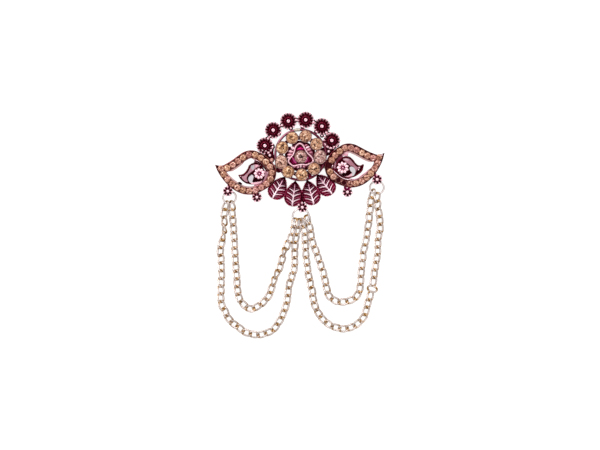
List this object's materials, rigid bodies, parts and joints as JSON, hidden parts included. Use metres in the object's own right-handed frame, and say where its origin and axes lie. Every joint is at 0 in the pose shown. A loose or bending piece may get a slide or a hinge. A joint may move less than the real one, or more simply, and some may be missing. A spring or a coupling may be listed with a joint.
{
  "type": "chain brooch",
  "caption": "Openwork brooch with a ring of set stones, eye-shaped stone-edged wings, small flowers and leaves, and swags of curb chain hung on jump rings.",
  "frame": {"origin": "centre of the bounding box in plan, on the surface that the brooch lies on", "axes": "+X to the right as seen from the front, +Y from the chains up towards the flowers, +Z out of the brooch's face, away from the surface"},
  "size_m": [0.068, 0.09, 0.0067],
  "materials": {
    "plated_casting": "dark maroon enamel over a plated casting with bright pink-white high points",
    "champagne_stone": "foil-backed faceted glass, champagne",
    "topaz_stone": "foil-backed faceted glass, light topaz and peach",
    "silver_wire": "polished",
    "pin_steel": "plated steel",
    "gold_chain": "polished, light rose gold"
  },
  "bodies": {
    "root": {"brooch_body": "plated_casting", "ring_stone_1": "champagne_stone", "ring_stone_2": "champagne_stone", "ring_stone_3": "champagne_stone", "ring_stone_4": "champagne_stone", "ring_stone_5": "champagne_stone", "ring_stone_6": "champagne_stone", "ring_stone_7": "champagne_stone", "ring_stone_8": "champagne_stone", "ring_stone_9": "champagne_stone", "centre_stone": "champagne_stone", "left_frame_stones": "topaz_stone", "right_frame_stones": "topaz_stone", "left_jump_ring": "silver_wire", "centre_jump_ring": "silver_wire", "right_jump_ring": "silver_wire", "brooch_pin": "pin_steel", "left_outer_chain": "gold_chain", "left_inner_chain": "gold_chain", "right_outer_chain": "gold_chain", "right_inner_chain": "gold_chain"}
  },
  "joints": []
}
